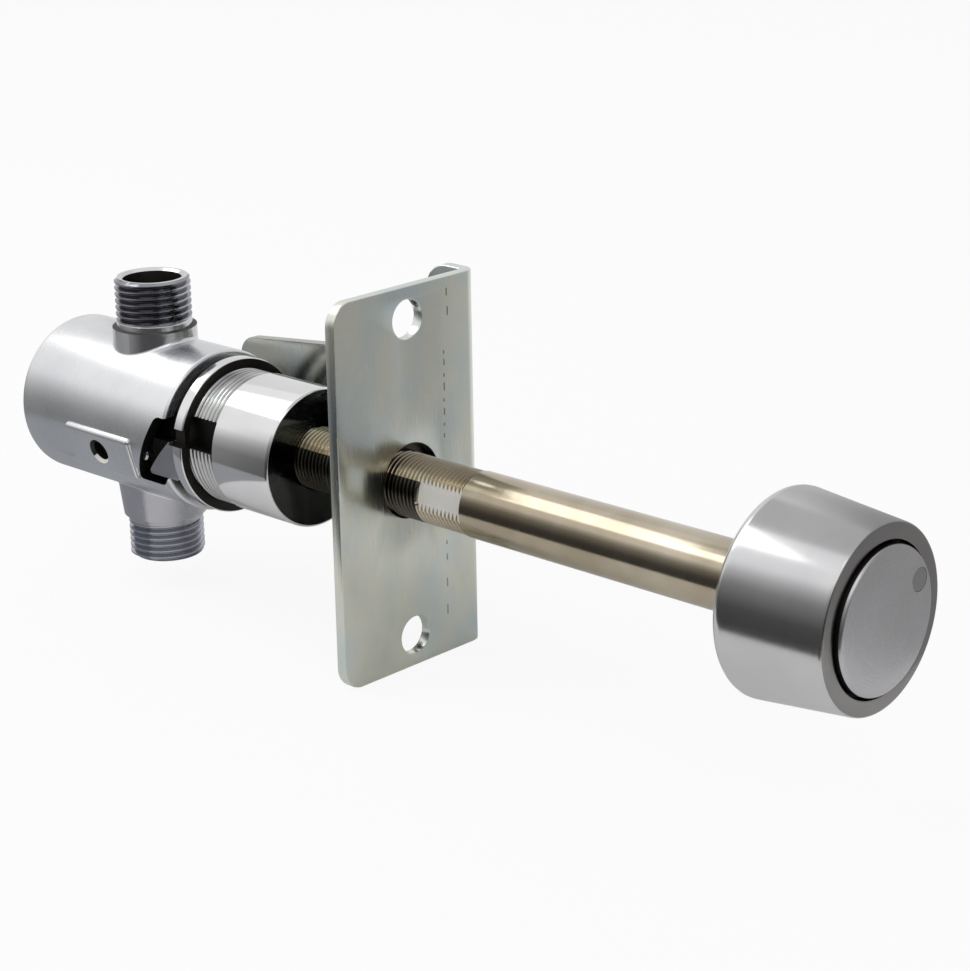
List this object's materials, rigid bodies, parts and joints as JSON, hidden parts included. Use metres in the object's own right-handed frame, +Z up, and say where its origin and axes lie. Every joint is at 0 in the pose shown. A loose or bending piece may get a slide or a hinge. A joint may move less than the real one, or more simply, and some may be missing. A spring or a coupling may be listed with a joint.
{
  "type": "anti-vandal basin tap",
  "caption": "Through-wall self-closing push tap: button head, long tube, wall plate with a side tab, and a valve body with threaded inlet and outlet.",
  "frame": {"origin": "centre of the fixing-hole pattern, at the front face of the wall plate; the tube axis lies 1.1 mm below it", "axes": "+Y along the tap from the push button to the valve body, +Z up with the outlet port, +X towards the bracket's side tab"},
  "size_m": [0.0508, 0.2784, 0.101],
  "materials": {
    "zinc_plate": "bright zinc-plated pressed steel",
    "tube_nickel": "nickel-plated pipe, warm in tone",
    "body_chrome": "chrome-plated, fine turning marks",
    "head_satin": "satin chrome",
    "button_satin": "satin chrome, fine circular brushing",
    "marker_grey": "darker satin disc",
    "brass": "bare machined brass",
    "stainless": "bright stainless steel",
    "acetal": "moulded acetal",
    "rubber": "nitrile rubber"
  },
  "bodies": {
    "tap": {"mounting_bracket": "zinc_plate", "plate_washer": "zinc_plate", "plate_nut": "zinc_plate", "extension_tube": "tube_nickel", "bonnet": "body_chrome", "lock_ring": "body_chrome", "bonnet_lock_screw": "stainless", "valve_body": "body_chrome", "regulator_ring": "brass", "gland": "brass", "stem_seal": "rubber", "cartridge_housing": "acetal", "housing_seals": "rubber", "inlet_strainer": "stainless", "cleaning_needle": "stainless", "rod_guide_front": "acetal", "rod_guide_rear": "acetal", "head_casing": "head_satin", "head_hub": "brass", "wall_gasket": "rubber", "head_set_screw": "stainless", "button_spring": "stainless", "return_spring": "stainless"},
    "button": {"push_button": "button_satin", "button_marker": "marker_grey", "thrust_pad": "acetal", "push_rod": "stainless"},
    "stem": {"valve_stem": "stainless", "piston": "acetal", "piston_seal": "rubber", "seat_washer": "rubber", "washer_cup": "brass", "stem_nut": "brass"},
    "regulator": {"flow_regulator": "brass", "regulator_seal": "rubber"}
  },
  "joints": [
    {"name": "button_press", "type": "slide", "parent": "tap", "child": "button", "axis": [0, 1, 0], "range_m": [0, 0.005], "stiffness_N_per_m": 600, "springref_m": -0.006, "deforming": ["button_spring"]},
    {"name": "stem_travel", "type": "slide", "parent": "tap", "child": "stem", "axis": [0, 1, 0], "range_m": [0, 0.005], "stiffness_N_per_m": 500, "springref_m": -0.006, "deforming": ["return_spring"]},
    {"name": "regulator_turn", "type": "hinge", "parent": "tap", "child": "regulator", "pos_m": [-0.01826, 0.0991, -0.00634], "axis": [-0.9613, 0, -0.2756], "range_deg": [0, 90]}
  ],
  "couplings": [
    {"joint": "stem_travel", "follows": "button_press", "ratio": 1}
  ]
}
